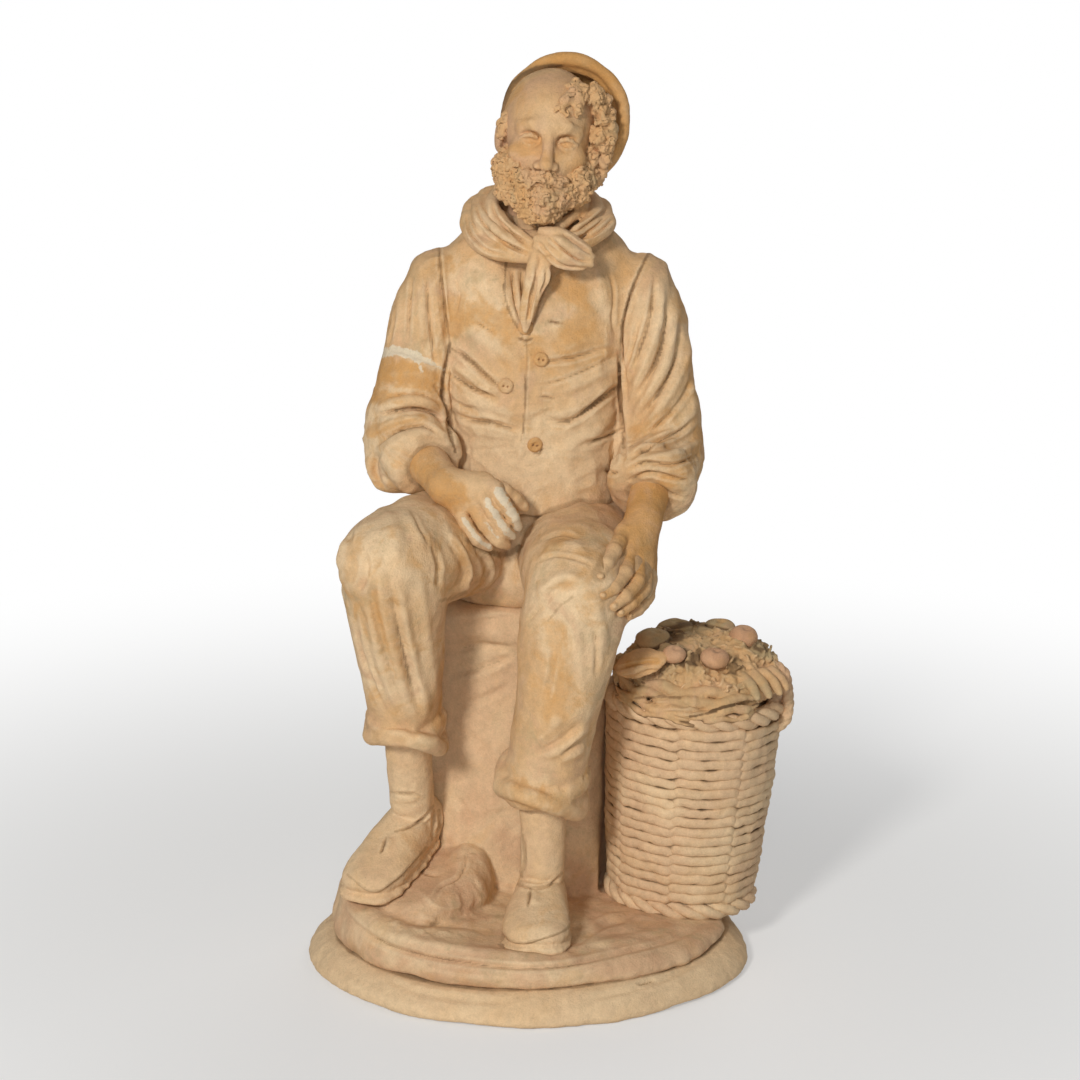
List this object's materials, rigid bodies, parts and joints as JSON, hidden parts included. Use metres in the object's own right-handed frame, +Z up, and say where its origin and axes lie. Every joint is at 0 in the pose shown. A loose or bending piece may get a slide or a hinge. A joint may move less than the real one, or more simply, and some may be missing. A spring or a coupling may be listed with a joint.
{
  "type": "farmer figurine",
  "caption": "Fired clay figurine of a bearded farmer in cap and waistcoat, seated on a rock beside a woven basket of produce, on a round stepped base.",
  "frame": {"origin": "centre of the plinth's flat underside", "axes": "+Z up, -Y towards the viewer that the figure faces, +X towards the basket, at the figure's left hand"},
  "size_m": [0.1629, 0.1315, 0.2969],
  "materials": {
    "ground_clay": "matt fired clay with a dusty, tooled surface",
    "basket_clay": "matt fired clay, pinkish buff, with grime between the weavers",
    "greens_clay": "rough fired clay, straw coloured, with dark hollows",
    "produce_clay": "smoothed fired clay with a reddish-brown tint",
    "skin_clay": "smoothed fired clay, warm ochre, with small pale chips",
    "cloth_clay": "matt fired buff clay with worn ochre patches and grey grime in the folds"
  },
  "bodies": {
    "root": {"plinth": "ground_clay", "ground_mound": "ground_clay", "rock_seat": "ground_clay", "foot_stone": "ground_clay", "right_sole": "cloth_clay", "right_shoe": "cloth_clay", "right_ankle": "cloth_clay", "right_trouser_cuff": "cloth_clay", "right_trouser_leg": "cloth_clay", "left_sole": "cloth_clay", "left_shoe": "cloth_clay", "left_ankle": "cloth_clay", "left_trouser_cuff": "cloth_clay", "left_trouser_leg": "cloth_clay", "trouser_seat": "cloth_clay", "shirt_body": "cloth_clay", "right_sleeve": "cloth_clay", "left_sleeve": "cloth_clay", "left_sleeve_roll": "cloth_clay", "right_arm": "skin_clay", "left_arm": "skin_clay", "neck": "skin_clay", "neckerchief": "cloth_clay", "neckerchief_knot": "cloth_clay", "neckerchief_tail": "cloth_clay", "head": "skin_clay", "beard": "cloth_clay", "right_hair": "cloth_clay", "left_hair": "cloth_clay", "forelock": "cloth_clay", "cap": "cloth_clay", "basket_wall": "basket_clay", "basket_foot": "basket_clay", "basket_rim": "basket_clay", "basket_handle": "basket_clay", "basket_greens": "greens_clay", "rim_leaf": "greens_clay", "waistcoat_back": "cloth_clay", "waistcoat_left_front": "cloth_clay", "waistcoat_right_front": "cloth_clay", "back_apple": "produce_clay", "right_apple": "produce_clay", "left_apple": "produce_clay", "rear_apple": "produce_clay", "marrow": "produce_clay", "front_apple": "produce_clay", "middle_apple": "produce_clay", "waistcoat_top_button": "cloth_clay", "waistcoat_chest_button": "cloth_clay", "waistcoat_edge_button": "cloth_clay", "waistcoat_belly_button": "cloth_clay"}
  },
  "joints": []
}
